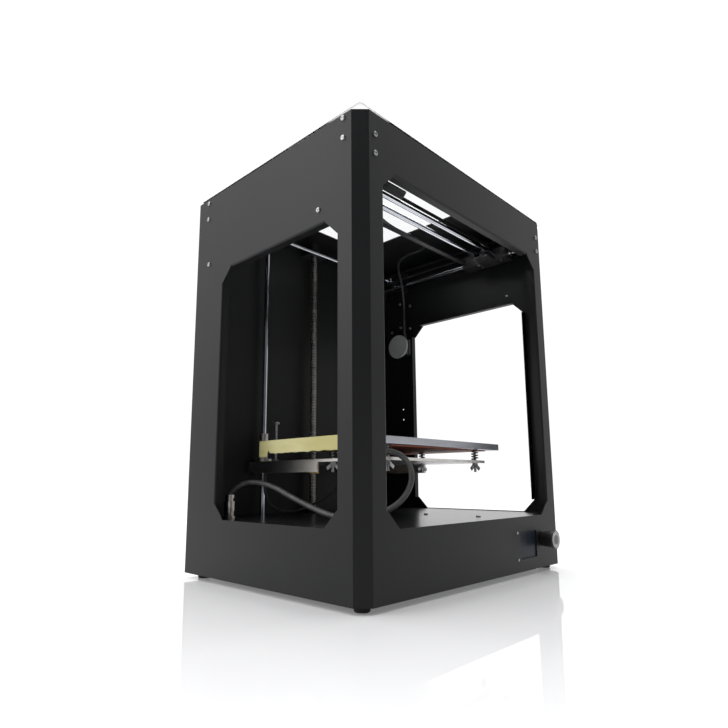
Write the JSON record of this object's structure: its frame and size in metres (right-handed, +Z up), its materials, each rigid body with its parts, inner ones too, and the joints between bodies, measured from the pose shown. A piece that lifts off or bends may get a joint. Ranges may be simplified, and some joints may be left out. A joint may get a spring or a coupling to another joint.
{
  "type": "fdm printer",
  "caption": "Enclosed desktop filament printer: black sheet-steel case with cut-corner windows, clear lid, cantilever heated bed on a rear screw, belt gantry, small screen and knob.",
  "frame": {"origin": "bottom centre of the whole object's bounding box, on the surface that the feet stand on", "axes": "+X to the right of someone facing the front, front with screen and knob faces -Y, +Z up"},
  "size_m": [0.466, 0.38, 0.579],
  "materials": {
    "case_paint": "satin black powder coat",
    "fastener_steel": "bright zinc",
    "foot_rubber": "matt",
    "clear_acrylic": "clear, polished",
    "screen_glass": "glossy dark display",
    "knob_plastic": "satin black",
    "circuit_board": "solder mask",
    "supply_metal": "satin",
    "inlet_plastic": "moulded",
    "rocker_plastic": "moulded",
    "connector_metal": "nickel plate",
    "rod_steel": "ground and polished",
    "screw_steel": "rolled thread",
    "bracket_paint": "satin black",
    "belt_rubber": "matt",
    "motor_black": "satin black",
    "pulley_aluminium": "turned",
    "carriage_plastic": "moulded black",
    "plate_aluminium": "grey, fine-milled",
    "heater_silicone": "silicone sheet",
    "tray_aluminium": "satin",
    "bearing_steel": "ground",
    "nut_brass": "turned",
    "spring_steel": "blackened",
    "cable_jacket": "grey flexible jacket",
    "tube_ptfe": "translucent",
    "disc_plastic": "light grey",
    "cooler_aluminium": "turned",
    "fan_plastic": "moulded black"
  },
  "bodies": {
    "frame": {"left_side_panel": "case_paint", "right_side_panel": "case_paint", "front_panel": "case_paint", "back_panel": "case_paint", "top_plate": "case_paint", "deck_plate": "case_paint", "base_plate": "case_paint", "panel_screws": "fastener_steel", "rubber_feet": "foot_rubber", "control_screen": "screen_glass", "mainboard": "circuit_board", "power_supply": "supply_metal", "power_inlet": "inlet_plastic", "cable_connectors": "connector_metal", "limit_switches": "carriage_plastic", "guide_rods": "rod_steel", "frame_brackets": "bracket_paint", "drive_belts": "belt_rubber", "z_motor": "motor_black", "y_motor": "motor_black", "feeder_motor": "motor_black", "feeder_block": "carriage_plastic"},
    "lid": {"clear_lid": "clear_acrylic"},
    "encoder": {"encoder_rotor": "carriage_plastic"},
    "knob": {"control_knob": "knob_plastic"},
    "rocker": {"power_rocker": "rocker_plastic"},
    "z_spindle": {"z_motor_pulley": "pulley_aluminium"},
    "screw": {"lead_screw": "screw_steel"},
    "shaft": {"cross_shaft": "rod_steel"},
    "idlers": {"front_idlers": "pulley_aluminium"},
    "feeder": {"feeder_drive": "disc_plastic"},
    "bed": {"build_plate": "plate_aluminium", "heater_pad": "heater_silicone", "bed_tray": "tray_aluminium", "z_bearings": "bearing_steel", "lead_nut": "nut_brass", "level_screws": "fastener_steel", "level_springs": "spring_steel", "bed_cable": "cable_jacket", "sensor_lead": "cable_jacket"},
    "nut_left_front": {"level_nut_left_front": "fastener_steel"},
    "nut_left_rear": {"level_nut_left_rear": "fastener_steel"},
    "nut_right_front": {"level_nut_right_front": "fastener_steel"},
    "nut_right_rear": {"level_nut_right_rear": "fastener_steel"},
    "gantry": {"left_carriage": "carriage_plastic", "right_carriage": "carriage_plastic", "x_guide_rods": "rod_steel", "gantry_tie_bar": "bracket_paint", "y_bearings": "bearing_steel", "x_motor": "motor_black", "x_belt": "belt_rubber"},
    "x_spindle": {"x_drive_pulley": "pulley_aluminium"},
    "x_idler": {"x_idler_pulley": "pulley_aluminium"},
    "head": {"x_carriage": "carriage_plastic", "x_bearings": "bearing_steel", "heat_sink": "cooler_aluminium", "heater_block": "nut_brass", "head_fan_housing": "fan_plastic", "filament_tube": "tube_ptfe"},
    "head_fan": {"head_fan_rotor": "fan_plastic"}
  },
  "joints": [
    {"name": "bed_lift", "type": "slide", "parent": "frame", "child": "bed", "axis": [0, 0, 1], "range_m": [-0.03, 0.283], "deforming": ["bed_cable", "sensor_lead"]},
    {"name": "screw_turn", "type": "hinge", "parent": "frame", "child": "screw", "pos_m": [0, 0.1714, 0.3], "axis": [0, 0, 1], "range_deg": [-20386, 2170]},
    {"name": "z_motor_turn", "type": "hinge", "parent": "frame", "child": "z_spindle", "pos_m": [0, 0.105, 0.068], "axis": [0, 0, 1], "range_deg": [-20386, 2170]},
    {"name": "gantry_travel", "type": "slide", "parent": "frame", "child": "gantry", "axis": [0, 1, 0], "range_m": [-0.028, 0.178]},
    {"name": "cross_shaft_turn", "type": "hinge", "parent": "frame", "child": "shaft", "pos_m": [0, 0.15, 0.548], "axis": [1, 0, 0], "range_deg": [-262, 1612]},
    {"name": "front_idler_turn", "type": "hinge", "parent": "frame", "child": "idlers", "pos_m": [0, -0.146, 0.548], "axis": [1, 0, 0], "range_deg": [-262, 1612]},
    {"name": "head_travel", "type": "slide", "parent": "gantry", "child": "head", "axis": [1, 0, 0], "range_m": [0, 0.248], "deforming": ["filament_tube"]},
    {"name": "x_motor_turn", "type": "hinge", "parent": "gantry", "child": "x_spindle", "pos_m": [-0.166, -0.0895, 0.5445], "axis": [0, 0, 1], "range_deg": [-10, 2242.1]},
    {"name": "x_idler_turn", "type": "hinge", "parent": "gantry", "child": "x_idler", "pos_m": [0.17, -0.0895, 0.5445], "axis": [0, 0, 1], "range_deg": [-10, 2242.1]},
    {"name": "knob_turn", "type": "hinge", "parent": "frame", "child": "encoder", "pos_m": [0.1674, -0.164, 0.0485], "axis": [0, -1, 0], "continuous": true},
    {"name": "knob_push", "type": "slide", "parent": "encoder", "child": "knob", "axis": [0, 1, 0], "range_m": [0, 0.0008], "stiffness_N_per_m": 600, "springref_m": -0.001},
    {"name": "power_switch", "type": "hinge", "parent": "frame", "child": "rocker", "pos_m": [-0.15, 0.184, 0.0575], "axis": [0, 0, 1], "range_deg": [-8, 8]},
    {"name": "head_fan_spin", "type": "hinge", "parent": "head", "child": "head_fan", "pos_m": [-0.144, -0.0552, 0.505], "axis": [0, -1, 0], "continuous": true},
    {"name": "feeder_turn", "type": "hinge", "parent": "frame", "child": "feeder", "pos_m": [0.205, 0.1355, 0.406], "axis": [1, 0, 0], "continuous": true},
    {"name": "lid_lift", "type": "slide", "parent": "frame", "child": "lid", "axis": [0, 0, 1], "range_m": [0, 0.08]},
    {"name": "level_nut_left_front_turn", "type": "hinge", "parent": "bed", "child": "nut_left_front", "pos_m": [-0.105, -0.094, 0.16], "axis": [0, 0, 1], "continuous": true},
    {"name": "level_nut_left_rear_turn", "type": "hinge", "parent": "bed", "child": "nut_left_rear", "pos_m": [-0.105, 0.01, 0.16], "axis": [0, 0, 1], "continuous": true},
    {"name": "level_nut_right_front_turn", "type": "hinge", "parent": "bed", "child": "nut_right_front", "pos_m": [0.105, -0.094, 0.16], "axis": [0, 0, 1], "continuous": true},
    {"name": "level_nut_right_rear_turn", "type": "hinge", "parent": "bed", "child": "nut_right_rear", "pos_m": [0.105, 0.01, 0.16], "axis": [0, 0, 1], "continuous": true}
  ],
  "couplings": [
    {"joint": "screw_turn", "follows": "bed_lift", "rad_per_m": -1256.6},
    {"joint": "z_motor_turn", "follows": "bed_lift", "rad_per_m": -1256.6},
    {"joint": "cross_shaft_turn", "follows": "gantry_travel", "rad_per_m": 157.08},
    {"joint": "front_idler_turn", "follows": "gantry_travel", "rad_per_m": 157.08},
    {"joint": "x_motor_turn", "follows": "head_travel", "rad_per_m": 157.08},
    {"joint": "x_idler_turn", "follows": "head_travel", "rad_per_m": 157.08}
  ]
}
